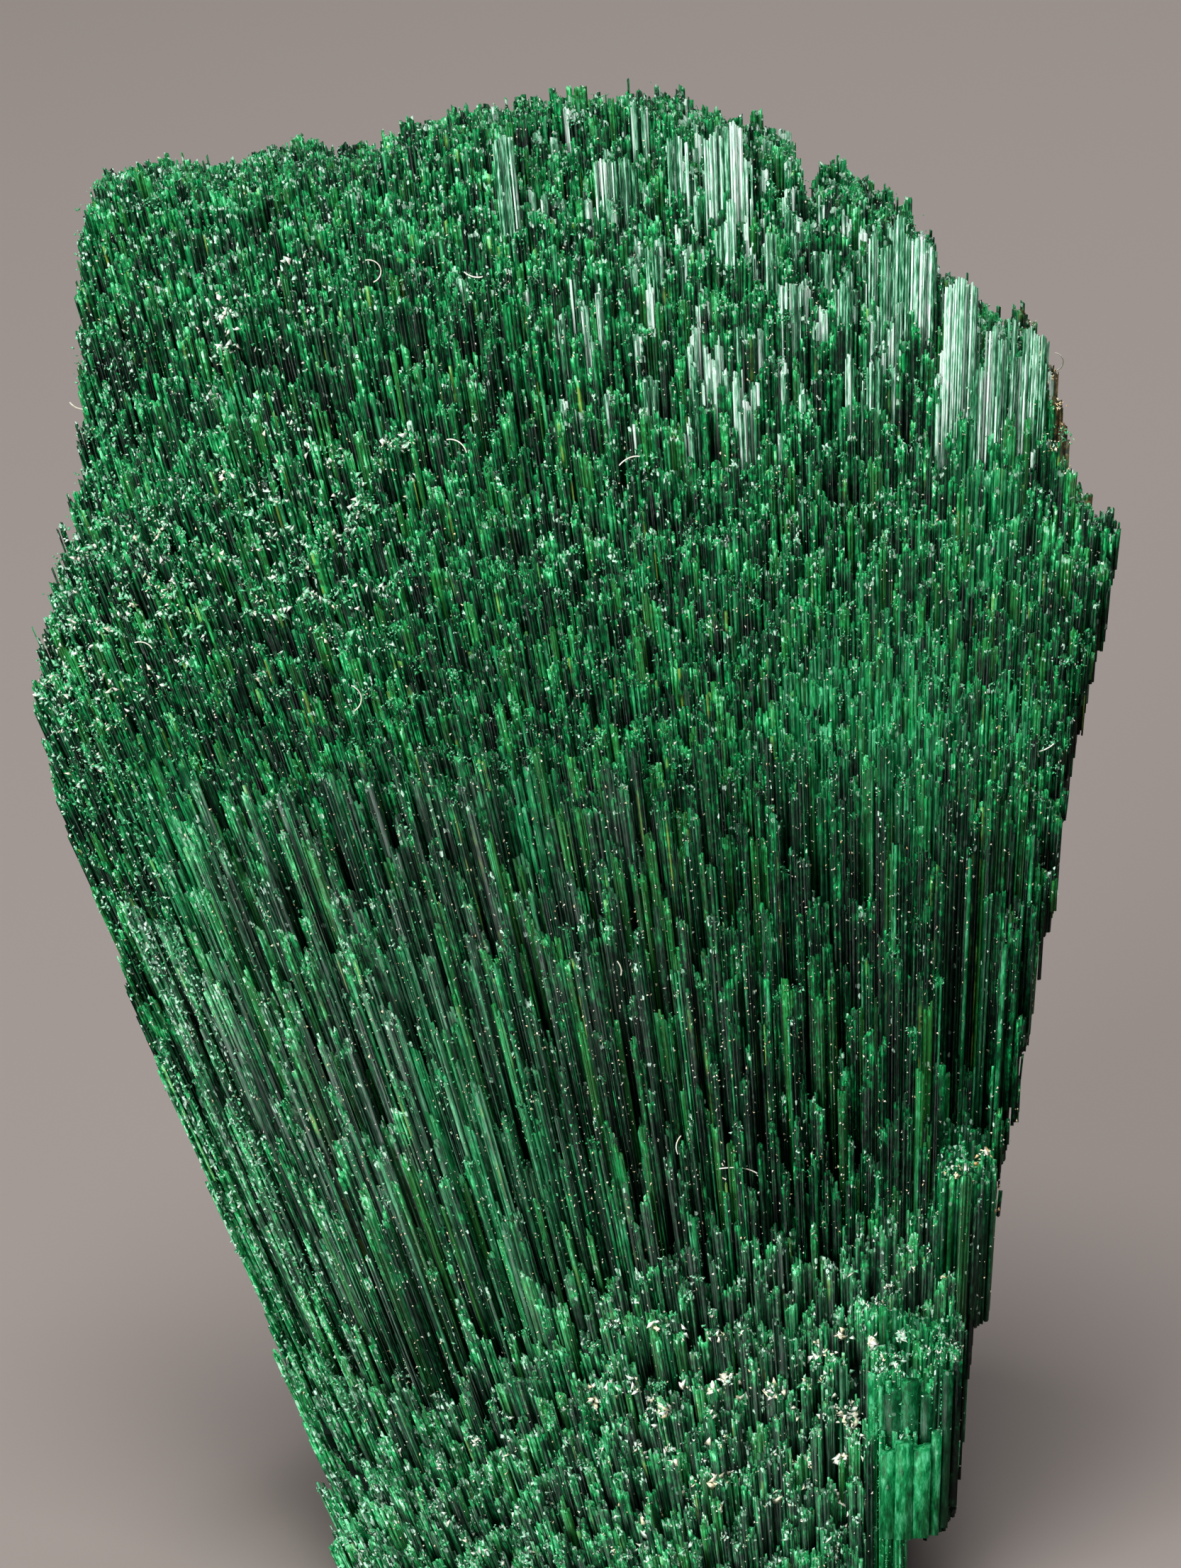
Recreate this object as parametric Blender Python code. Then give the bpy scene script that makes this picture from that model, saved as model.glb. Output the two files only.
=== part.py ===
"""Fibrous malachite: one fan of long crystals grown side by side, broken off in ledges.

Blender 4.5, metres, +Z up. The piece stands on its flat cut foot, with the middle of its
bounding box over the origin and its stepped face towards -Y.

The crystals are laid out in the fan's own millimetres. u runs left to right and v front to
back across the cut foot, and each crystal climbs a straight line from its place there, so
(u, v) names the crystal and its height above the foot names a point on it.
"""

import math
import random

import bmesh
import bpy
from mathutils import Vector

MM = 0.001
SEED = 5

# Bundles of fibres, as they stand side by side at the foot
BUNDLE = 1.22  # between the middles of two bundles
GROOVE_WIDTH = 0.1  # from a bundle's end to the seam with its neighbour
GROOVE_DEPTH = 0.35  # of the seam, below the lower of the two ends
CORNER_JITTER = 0.16
WELD = 0.06
SHORTEST = 2.5  # a bundle shorter than this has broken away
END_TILT = 0.22  # rise of a bundle's broken end across it
END_JITTER = 0.55
PLACE_JITTER = 0.3  # how far along the slope a bundle breaks early or late

# Outline of the foot around the middles of its outermost bundles, as (u, v)
FOOTPRINT = (
    (-7.4, -5.2), (-7.9, -9.0), (-6.2, -11.4), (-1.0, -12.2), (7.4, -12.0), (9.0, -10.7),
    (12.8, -9.9), (12.9, -6.8), (13.8, -5.4), (14.4, -2.6), (16.0, -1.0), (16.6, 1.5),
    (16.6, 4.5), (15.4, 8.0), (12.8, 10.9), (-3.8, 11.5), (-6.5, 9.6), (-7.7, 5.0), (-7.3, -2.4),
)

# Sideways lean of the crystals, as run over rise, along u: in front, and at the back
FRONT_LEAN = (
    (-9.6, -0.41), (-7.4, -0.385), (-0.7, -0.29), (3.1, -0.19), (7.0, -0.07), (12.0, 0.0),
    (17.2, 0.045),
)
BACK_LEAN = ((-7.6, -0.29), (-1.4, -0.125), (5.4, -0.05), (11.5, 0.0), (17.2, 0.02))
LEAN_CHANGE = (1.0, 4.0)  # v where the front lean gives way to the back lean
DEPTH_LEAN = 0.006  # the fan also opens front to back, this much for each mm of v
UPRIGHT_V = 1.0

# Heights along v of the face, from the top of the low ledge back to the ridge
FACE = (
    (-5.3, 3.0), (-4.7, 13.0), (-3.1, 23.0), (-1.6, 29.0), (0.4, 34.8), (2.3, 40.6),
    (2.5, 44.2), (4.0, 47.4), (5.5, 50.2), (7.0, 54.0),
)
LEDGE_BACK = -5.0  # v of the line where the low ledge meets the face
LEDGE_REACH = 8.0
LEDGE_LINE = ((-9.6, 7.4), (-2.6, 7.8), (2.8, 12.0), (7.9, 13.9), (14.6, 15.3))
LEDGE_LOWEST = 1.4
BACK = (
    (7.0, 60.0), (8.0, 52.0), (8.5, 45.5), (9.2, 41.5), (9.7, 29.0), (10.3, 25.0), (10.7, 12.0),
    (11.5, 8.0),
)

# The face and the back draw in towards the two sides, from these u on
LEFT_BEND = -2.6
RIGHT_BEND = 13.8
LEFT_SETBACK = 0.3
RIGHT_SETBACK = 0.15
BEND_POWER = 1.2
BACK_SHARE = 0.6  # of the face's setback, at the back

# Heights along u: the ridge, and what the left side leaves standing in front and at the back
RIDGE = (
    (-6.0, 49.0), (-4.8, 50.0), (-3.4, 49.4), (-1.4, 49.8), (0.0, 50.9), (2.2, 51.6), (5.0, 51.5),
    (7.9, 50.0), (8.5, 48.0), (9.4, 48.7), (10.6, 47.6), (11.6, 45.1), (12.9, 44.9), (13.5, 43.8),
    (14.9, 43.5), (15.3, 41.8), (15.6, 39.2), (17.2, 38.0),
)
LEFT_FRONT = (
    (-7.9, 3.0), (-7.5, 8.0), (-7.4, 27.0), (-7.1, 31.0), (-6.8, 34.5), (-6.2, 37.0), (-5.4, 39.2),
    (-4.6, 60.0),
)
LEFT_BACK = (
    (-7.8, 8.0), (-7.3, 30.0), (-6.7, 38.0), (-6.1, 43.0), (-5.7, 46.5), (-5.2, 48.5), (-4.9, 60.0),
)

# Crystals that broke off above the foot on the right: (u where a step starts, its underside)
UNDERSIDES = (
    (12.6, 4.0), (13.2, 9.0), (13.6, 14.0), (14.1, 20.0), (14.6, 26.0), (15.1, 31.0), (15.6, 34.0),
)
# Blocks of coarser crystals right of the low ledge: (u from, u to, v from, v to, underside, top)
BLOCKS = ((9.4, 12.9, -10.4, -6.9, 4.4, 12.0), (12.2, 13.9, -6.0, -2.4, 9.8, 16.9))

GREEN = (0.012, 0.115, 0.045, 1.0)


def along(points, x):
    """Height of the line through points, given as (x, height), at x."""
    if x <= points[0][0]:
        return points[0][1]
    for (x0, y0), (x1, y1) in zip(points, points[1:]):
        if x <= x1:
            return y0 + (y1 - y0) * (x - x0) / (x1 - x0)
    return points[-1][1]


def ease(x, start, end):
    t = min(1.0, max(0.0, (x - start) / (end - start)))
    return t * t * (3.0 - 2.0 * t)


def corner_setback(u):
    """How far the face and the back draw in where the fan rounds off at its two sides."""
    left = max(0.0, LEFT_BEND - u)
    right = max(0.0, u - RIGHT_BEND)
    return LEFT_SETBACK * left ** BEND_POWER + RIGHT_SETBACK * right ** BEND_POWER


def block_at(u, v):
    for block in BLOCKS:
        if block[0] <= u <= block[1] and block[2] <= v <= block[3]:
            return block
    return None


def top_height(u, v):
    """Where the crystal at (u, v) ends, in mm above the foot."""
    block = block_at(u, v)
    if block:
        return block[5]
    share = max(0.0, 1.0 - (LEDGE_BACK - v) / LEDGE_REACH)
    ledge = along(LEDGE_LINE, u) * min(1.0, share)
    face = along(FACE, v - corner_setback(u))
    behind = ease(v, *LEAN_CHANGE)
    left = along(LEFT_FRONT, u) * (1.0 - behind) + along(LEFT_BACK, u) * behind
    high = min(face, along(BACK, v + BACK_SHARE * corner_setback(u)), along(RIDGE, u), left)
    return max(high, min(ledge, left), LEDGE_LOWEST)


def underside_height(u, v):
    """Where the crystal at (u, v) begins: on the foot, or higher on the broken right side."""
    block = block_at(u, v)
    if block:
        return block[4]
    below = 0.0
    for start, height in UNDERSIDES:
        if u >= start:
            below = height
    return below


def in_space(u, v, height):
    """The fan's own place, as x, y, z in metres."""
    behind = ease(v, *LEAN_CHANGE)
    lean = along(FRONT_LEAN, u) * (1.0 - behind) + along(BACK_LEAN, u) * behind
    return Vector((
        (u + height * lean) * MM,
        (v + height * DEPTH_LEAN * (v - UPRIGHT_V)) * MM,
        height * MM,
    ))


def inside(outline, u, v):
    odd = False
    for (u0, v0), (u1, v1) in zip(outline, outline[1:] + outline[:1]):
        if (v0 > v) != (v1 > v) and u < u0 + (u1 - u0) * (v - v0) / (v1 - v0):
            odd = not odd
    return odd


def bundle_plate(mesh, chance):
    """The foot as a flat plate of six-sided bundles that share their corners."""
    corner_radius = BUNDLE / math.sqrt(3.0)
    row_step = 1.5 * corner_radius
    us = [place[0] for place in FOOTPRINT]
    vs = [place[1] for place in FOOTPRINT]
    for row in range(int((max(vs) - min(vs)) / row_step) + 2):
        for place in range(int((max(us) - min(us)) / BUNDLE) + 2):
            u = min(us) + (place + 0.5 * (row % 2)) * BUNDLE
            v = min(vs) + row * row_step
            below = underside_height(u, v)
            too_short = below > 0.0 and top_height(u, v) - below < SHORTEST
            if inside(FOOTPRINT, u, v) and not too_short:
                ring = bmesh.ops.create_circle(mesh, cap_ends=True, segments=6, radius=corner_radius)
                bmesh.ops.translate(mesh, verts=ring["verts"], vec=(u, v, 0.0))
    bmesh.ops.remove_doubles(mesh, verts=mesh.verts, dist=WELD)
    for corner in mesh.verts:
        corner.co.x += chance.uniform(-CORNER_JITTER, CORNER_JITTER)
        corner.co.y += chance.uniform(-CORNER_JITTER, CORNER_JITTER)


def seams_between(faces, levels, choose):
    """A level for each corner, chosen among the levels of the faces around it."""
    around = {}
    for face in faces:
        for corner in face.verts:
            around.setdefault(tuple(corner.co.xy), []).append(levels[face])
    return {place: choose(heights) for place, heights in around.items()}


def raise_ends(mesh, faces, levels, seams, tilt, chance):
    """Sets each face of the plate at its own level, with narrow walls to the seams around it."""
    corners = {corner for face in faces for corner in face.verts}
    middles = {face: face.calc_center_median() for face in faces}
    bmesh.ops.inset_individual(mesh, faces=faces, thickness=GROOVE_WIDTH, use_even_offset=True)
    for corner in corners:
        corner.co.z = seams[tuple(corner.co.xy)]
    for face in faces:
        slope = Vector((chance.uniform(-tilt, tilt), chance.uniform(-tilt, tilt)))
        for corner in face.verts:
            corner.co.z = levels[face] + slope.dot(corner.co.xy - middles[face].xy)


def broken_ends(faces, chance):
    """A height for each bundle, read a little up or down the slope from its own place."""
    levels = {}
    for face in faces:
        middle = face.calc_center_median()
        u = middle.x + chance.uniform(-PLACE_JITTER, PLACE_JITTER)
        v = middle.y + chance.uniform(-PLACE_JITTER, PLACE_JITTER)
        levels[face] = top_height(u, v) + chance.uniform(-END_JITTER, END_JITTER)
    return levels


def build_bundles():
    """The whole fan as one closed mesh, in the fan's own u, v and height."""
    chance = random.Random(SEED)
    mesh = bmesh.new()
    bundle_plate(mesh, chance)
    bottoms = mesh.faces[:]
    raised = bmesh.ops.extrude_face_region(mesh, geom=bottoms, use_keep_orig=True)
    tops = [item for item in raised["geom"] if isinstance(item, bmesh.types.BMFace)]

    levels = broken_ends(tops, chance)
    top_seams = seams_between(tops, levels, lambda around: min(around) - GROOVE_DEPTH)
    raise_ends(mesh, tops, levels, top_seams, END_TILT, chance)

    under = {f: underside_height(*f.calc_center_median().xy) for f in bottoms}
    hanging = {f for f in bottoms if under[f] > 0.0}
    beside = {n for f in hanging for c in f.verts for n in c.link_faces if n in under}
    stepped = [f for f in bottoms if f in beside]
    seams = seams_between(stepped, under, max)
    for place in seams:
        seams[place] = max(0.0, min(seams[place], top_seams[place] - SHORTEST))
    raise_ends(mesh, stepped, under, seams, 0.0, chance)
    return mesh


def build_malachite():
    mesh = build_bundles()
    for corner in mesh.verts:
        corner.co = in_space(*corner.co)
    low = Vector([min(c.co[axis] for c in mesh.verts) for axis in range(3)])
    high = Vector([max(c.co[axis] for c in mesh.verts) for axis in range(3)])
    middle = (low + high) / 2.0
    bmesh.ops.translate(mesh, verts=mesh.verts, vec=(-middle.x, -middle.y, 0.0))
    bmesh.ops.triangulate(mesh, faces=mesh.faces)
    bmesh.ops.recalc_face_normals(mesh, faces=mesh.faces)
    data = bpy.data.meshes.new("malachite")
    mesh.to_mesh(data)
    mesh.free()
    data.materials.append(malachite_material())
    return bpy.data.objects.new("malachite", data)


def malachite_material():
    green = bpy.data.materials.new("silky_green_malachite")
    green.use_nodes = True
    surface = green.node_tree.nodes["Principled BSDF"]
    surface.inputs["Base Color"].default_value = GREEN
    surface.inputs["Roughness"].default_value = 0.32
    surface.inputs["Metallic"].default_value = 0.0
    return green


def main():
    for old in list(bpy.data.objects):
        bpy.data.objects.remove(old, do_unlink=True)
    parts = bpy.data.collections.new("fibrous_malachite")
    bpy.context.scene.collection.children.link(parts)
    parts.objects.link(build_malachite())


main()
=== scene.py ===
"""Fibrous malachite: the broken needles, dust and lint that dress the solid fan.

The needles stand in the fan's own millimetres, as the solid's bundles do. u runs left to right and
v front to back across the cut foot, and a needle climbs a straight line from its place there, so
(u, v) names the needle and its height above the foot names a point on it.
"""

import math

import bpy
import numpy as np
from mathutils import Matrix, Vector
from mathutils.kdtree import KDTree


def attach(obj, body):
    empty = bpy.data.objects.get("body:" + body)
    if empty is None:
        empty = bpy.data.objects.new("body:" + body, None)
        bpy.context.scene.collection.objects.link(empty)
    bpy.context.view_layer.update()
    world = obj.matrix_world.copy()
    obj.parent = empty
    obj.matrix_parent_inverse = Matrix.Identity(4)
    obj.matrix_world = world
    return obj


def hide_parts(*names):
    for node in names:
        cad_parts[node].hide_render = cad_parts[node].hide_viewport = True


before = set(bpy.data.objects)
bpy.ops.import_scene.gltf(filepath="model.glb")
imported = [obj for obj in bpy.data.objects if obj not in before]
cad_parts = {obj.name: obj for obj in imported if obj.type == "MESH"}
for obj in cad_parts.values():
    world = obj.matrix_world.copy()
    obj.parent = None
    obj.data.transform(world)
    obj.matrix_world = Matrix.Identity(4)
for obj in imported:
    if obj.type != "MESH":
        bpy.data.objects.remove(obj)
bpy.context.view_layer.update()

MM = 0.001
SEED = 11

# Where the fan's own zero lies: the middle of the piece, in (u, v), stands over the origin
FAN_MIDDLE = (-0.5998, 0.2655)

# The solid's own shape, in the fan's millimetres
FOOTPRINT = (
    (-7.4, -5.2), (-7.9, -9.0), (-6.2, -11.4), (-1.0, -12.2), (7.4, -12.0), (9.0, -10.7),
    (12.8, -9.9), (12.9, -6.8), (13.8, -5.4), (14.4, -2.6), (16.0, -1.0), (16.6, 1.5),
    (16.6, 4.5), (15.4, 8.0), (12.8, 10.9), (-3.8, 11.5), (-6.5, 9.6), (-7.7, 5.0), (-7.3, -2.4),
)
FRONT_LEAN = (
    (-9.6, -0.41), (-7.4, -0.385), (-0.7, -0.29), (3.1, -0.19), (7.0, -0.07), (12.0, 0.0),
    (17.2, 0.045),
)
BACK_LEAN = ((-7.6, -0.29), (-1.4, -0.125), (5.4, -0.05), (11.5, 0.0), (17.2, 0.02))
LEAN_CHANGE = (1.0, 4.0)
DEPTH_LEAN = 0.006
UPRIGHT_V = 1.0
FACE = (
    (-5.3, 3.0), (-4.7, 13.0), (-3.1, 23.0), (-1.6, 29.0), (0.4, 34.8), (2.1, 40.0),
    (3.1, 45.0), (4.0, 47.2), (5.5, 50.2), (7.0, 54.0),
)
LEDGE_BACK = -5.0
LEDGE_REACH = 8.0
LEDGE_LINE = ((-9.6, 7.4), (-2.6, 7.8), (2.8, 12.0), (7.9, 13.9), (14.6, 15.3))
LEDGE_LOWEST = 1.4
BACK = (
    (7.0, 60.0), (8.0, 52.0), (8.5, 45.5), (9.2, 41.5), (9.7, 29.0), (10.3, 25.0), (10.7, 12.0),
    (11.5, 8.0),
)
LEFT_BEND = -2.6
RIGHT_BEND = 13.8
LEFT_SETBACK = 0.3
RIGHT_SETBACK = 0.15
BEND_POWER = 1.2
BACK_SHARE = 0.6
RIDGE = (
    (-6.0, 48.4), (-4.8, 49.1), (-3.9, 48.7), (-3.1, 49.5), (-2.4, 49.6), (-1.8, 49.2), (-0.8, 50.0),
    (0.0, 50.5), (2.2, 51.1), (5.0, 51.3),
    (7.9, 50.0), (8.4, 49.8), (8.8, 47.3), (9.1, 48.3), (10.0, 48.4), (10.5, 48.0), (10.9, 47.4),
    (11.5, 46.8), (12.1, 46.1), (12.2, 44.7), (13.3, 44.6), (13.5, 43.3), (15.0, 42.9), (15.5, 42.5),
    (15.7, 41.4), (15.8, 38.5), (17.2, 37.5),
)
LEFT_FRONT = (
    (-7.9, 3.0), (-7.5, 8.0), (-7.4, 27.0), (-7.1, 31.0), (-6.8, 34.5), (-6.2, 37.0), (-5.4, 39.2),
    (-4.6, 60.0),
)
LEFT_BACK = (
    (-7.8, 8.0), (-7.3, 30.0), (-6.7, 38.0), (-6.1, 43.0), (-5.7, 46.5), (-5.2, 48.5), (-4.9, 60.0),
)
# On the right the crystals break off below as well, along a line that climbs outwards
UNDERSIDE_FROM = 11.1
UNDERSIDE = (
    (11.1, 2.6), (12.7, 2.6), (13.1, 4.0), (13.4, 9.0), (13.95, 15.0), (14.65, 20.0), (15.45, 26.0),
    (16.05, 31.0), (16.6, 34.0), (17.1, 37.0),
)
BLOCKS = ((10.0, 12.6, -10.4, -6.9, 4.4, 12.0), (12.2, 13.9, -6.0, -2.4, 11.0, 16.9))

# The front block is broken down in steps, left of a standing wall: v, and the height there
BLOCK_WALL = 11.8
BLOCK_FOOTED = 11.1
BLOCK_STEPS = ((-10.4, -9.9, -9.8, -8.6, -8.3), (8.4, 8.9, 10.6, 11.2, 12.0))

# Its underside along u, chipped away at its outer corner
BLOCK_UNDERSIDE = ((10.0, 5.0), (12.15, 5.1), (12.6, 6.2))

# The outline above runs through the outermost bundles, whose own half width lies outside it
FOOT_CENTRE = (4.4, -0.4)
FOOT_SHARE = ((-12.0, 1.01), (-6.5, 0.995), (-4.5, 0.96), (-2.0, 0.94))
BUNDLE_REACH = 0.5

# Each stretch of the piece: where it lies along v, its usual height, and how raggedly it broke
STRETCHES = {
    "low_ledge": {"v": (-13.0, -5.0), "height": 9.0, "spacing": 0.126, "bundle": 0.42,
                  "slide": 0.5, "rise": 0.5},
    "bare_face": {"v": (-5.0, -1.6), "height": 24.0, "spacing": 0.13, "bundle": 0.32,
                  "slide": 0.7, "rise": 0.8},
    "shoulder": {"v": (-1.6, 2.4), "height": 37.0, "spacing": 0.118, "bundle": 0.3,
                 "slide": 0.15, "rise": 0.27},
    "upper_tier": {"v": (2.4, 7.6), "height": 47.0, "spacing": 0.128, "bundle": 0.29,
                   "slide": 0.13, "rise": 0.24},
    "back_steps": {"v": (7.6, 12.4), "height": 30.0, "spacing": 0.2, "bundle": 0.55,
                   "slide": 0.1, "rise": 0.3},
    "corner_blocks": {"v": (-10.6, -2.2), "height": 10.0, "spacing": 0.18, "bundle": 0.4,
                      "slide": 0.1, "rise": 0.3},
}


def line(points, x):
    return np.interp(x, [point[0] for point in points], [point[1] for point in points])


def ease(x, start, end):
    t = np.clip((x - start) / (end - start), 0.0, 1.0)
    return t * t * (3.0 - 2.0 * t)


def corner_setback(u):
    left = np.maximum(0.0, LEFT_BEND - u)
    right = np.maximum(0.0, u - RIGHT_BEND)
    return LEFT_SETBACK * left ** BEND_POWER + RIGHT_SETBACK * right ** BEND_POWER


def in_block(block, u, v):
    return (block[0] <= u) & (u <= block[1]) & (block[2] <= v) & (v <= block[3])


def top_height(u, v):
    """Where the crystal at (u, v) ends, in mm above the foot."""
    share = np.clip(1.0 - (LEDGE_BACK - v) / LEDGE_REACH, 0.0, 1.0)
    ledge = line(LEDGE_LINE, u) * share
    face = line(FACE, v - corner_setback(u))
    behind = ease(v, *LEAN_CHANGE)
    edge_u = u + BUNDLE_REACH
    left = line(LEFT_FRONT, edge_u) * (1.0 - behind) + line(LEFT_BACK, edge_u) * behind
    back = line(BACK, v - 0.5 * BUNDLE_REACH + BACK_SHARE * corner_setback(u))
    high = np.minimum(np.minimum(face, back), np.minimum(line(RIDGE, u), left))
    height = np.maximum(np.maximum(high, np.minimum(ledge, left)), LEDGE_LOWEST)
    for block in BLOCKS:
        height = np.where(in_block(block, u, v), block[5], height)
    broken_off = in_block(BLOCKS[0], u, v) & (u < BLOCK_WALL)
    height = np.where(broken_off, np.interp(v, BLOCK_STEPS[0], BLOCK_STEPS[1]), height)
    return height


def underside_height(u, v):
    """Where the crystal at (u, v) begins: on the foot, or higher on the broken right side."""
    ragged = 0.12 * np.sin(7.0 * v + 2.0 * u) + 0.18 * np.sin(2.3 * v - 3.0 * u)
    below = np.where(u > UNDERSIDE_FROM, line(UNDERSIDE, u + ragged), 0.0)
    below = np.where(in_block(BLOCKS[1], u, v), BLOCKS[1][4], below)
    front = v < BLOCKS[0][3]
    return np.where(front, np.where(u > BLOCK_FOOTED, line(BLOCK_UNDERSIDE, u), 0.0), below)


def lean(u, v):
    behind = ease(v, *LEAN_CHANGE)
    return line(FRONT_LEAN, u) * (1.0 - behind) + line(BACK_LEAN, u) * behind


def in_space(u, v, height):
    """The fan's own places as rows of x, y, z in metres."""
    x = u + height * lean(u, v) - FAN_MIDDLE[0]
    y = v + height * DEPTH_LEAN * (v - UPRIGHT_V) - FAN_MIDDLE[1]
    return np.stack((x, y, height), axis=-1) * MM


def on_foot(u, v):
    """True where a crystal stands within the foot's outer edge."""
    share = line(FOOT_SHARE, v)
    u = FOOT_CENTRE[0] + (u - FOOT_CENTRE[0]) * share
    v = FOOT_CENTRE[1] + (v - FOOT_CENTRE[1]) * share
    odd = np.zeros(np.shape(u), dtype=bool)
    for (u0, v0), (u1, v1) in zip(FOOTPRINT, FOOTPRINT[1:] + FOOTPRINT[:1]):
        crosses = ((v0 > v) != (v1 > v)) & (u < u0 + (u1 - u0) * (v - v0) / (v1 - v0 + 1e-9))
        odd ^= crosses
    return odd


def lowest_near(u, v, reach):
    """The lowest top around each place: on a stretch that ends there, the crystal's underside."""
    below = underside_height(u, v)
    low = top_height(u, v)
    for turn in range(8):
        near_u = u + 0.6 * reach * math.cos(turn * math.pi / 4)
        near_v = v + reach * math.sin(turn * math.pi / 4)
        beside = top_height(near_u, near_v)
        hangs_higher = underside_height(near_u, near_v) > below + 0.1
        open_side = ~on_foot(near_u, near_v) | hangs_higher
        low = np.minimum(low, np.where(open_side, below, beside))
    return np.maximum(low, below)


# Camera and light


def place_camera():
    """The photograph's view: 20 degrees down on the stepped face, from 160 mm away."""
    camera = bpy.data.objects.new("camera", bpy.data.cameras.new("camera"))
    bpy.context.scene.collection.objects.link(camera)
    down = math.radians(20.0)
    distance = 160.0
    aim_height = 29.0
    camera.data.sensor_width = 36.0
    camera.data.lens = 36.0 * 6400.0 / 2212.0
    camera.data.clip_start = 0.01
    camera.location = Vector((
        -FAN_MIDDLE[0],
        -distance * math.cos(down) - FAN_MIDDLE[1],
        aim_height + distance * math.sin(down),
    )) * MM
    camera.rotation_euler = (math.pi / 2 - down, 0.0, 0.0)
    bpy.context.scene.camera = camera
    return camera


def soft_light(name, place, size, power):
    """A square studio panel at a place in mm, turned to the middle of the piece."""
    lamp = bpy.data.lights.new(name, "AREA")
    lamp.shape = "SQUARE"
    lamp.size = size * MM
    lamp.energy = power
    panel = bpy.data.objects.new(name, lamp)
    panel.location = Vector(place) * MM
    aim = Vector((0.0, 0.0, 30.0)) * MM - panel.location
    panel.rotation_euler = aim.to_track_quat("-Z", "Y").to_euler()
    bpy.context.scene.collection.objects.link(panel)


def set_stage():
    bpy.ops.mesh.primitive_plane_add(size=3.0, location=(0.0, 0.0, 0.0))
    floor = bpy.context.object
    floor.name = "floor"
    floor.data.materials.append(plain_floor())
    soft_light("key_panel", (-60.0, -110.0, 680.0), 320.0, 3.75)
    soft_light("fill_panel", (-240.0, -340.0, 110.0), 200.0, 2.1)
    soft_light("back_panel", (120.0, 480.0, 420.0), 300.0, 1.4)
    world = bpy.data.worlds.new("studio")
    world.use_nodes = True
    world.node_tree.nodes["Background"].inputs["Color"].default_value = colour("#D9DCE0")
    world.node_tree.nodes["Background"].inputs["Strength"].default_value = 0.12
    bpy.context.scene.world = world
    bpy.context.scene.view_settings.view_transform = "Standard"


# Materials


def colour(hex_value):
    """An sRGB hex value as linear red, green, blue and alpha."""
    shares = [int(hex_value[place:place + 2], 16) / 255.0 for place in (1, 3, 5)]
    linear = [s / 12.92 if s <= 0.04045 else ((s + 0.055) / 1.055) ** 2.4 for s in shares]
    return (*linear, 1.0)


def add(tree, kind, inputs=None, stops=None, **settings):
    """One node with its settings. Each input is a number, a colour or another node's output."""
    made = tree.nodes.new(kind)
    for name, value in settings.items():
        setattr(made, name, value)
    for place, value in (inputs or {}).items():
        if isinstance(value, bpy.types.NodeSocket):
            tree.links.new(value, made.inputs[place])
        else:
            made.inputs[place].default_value = value
    for index, (place, shade) in enumerate(stops or ()):
        if index < 2:
            stop = made.color_ramp.elements[index]
        else:
            stop = made.color_ramp.elements.new(place)
        stop.position = place
        stop.color = colour(shade)
    return made


def new_material(name):
    material = bpy.data.materials.new(name)
    material.use_nodes = True
    return material, material.node_tree, material.node_tree.nodes["Principled BSDF"]


def plain_floor():
    """Matt painted board, plain and pale."""
    material, tree, surface = new_material("painted_board_matt")
    surface.inputs["Base Color"].default_value = colour("#8F8580")
    surface.inputs["Roughness"].default_value = 0.85
    return material


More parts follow.
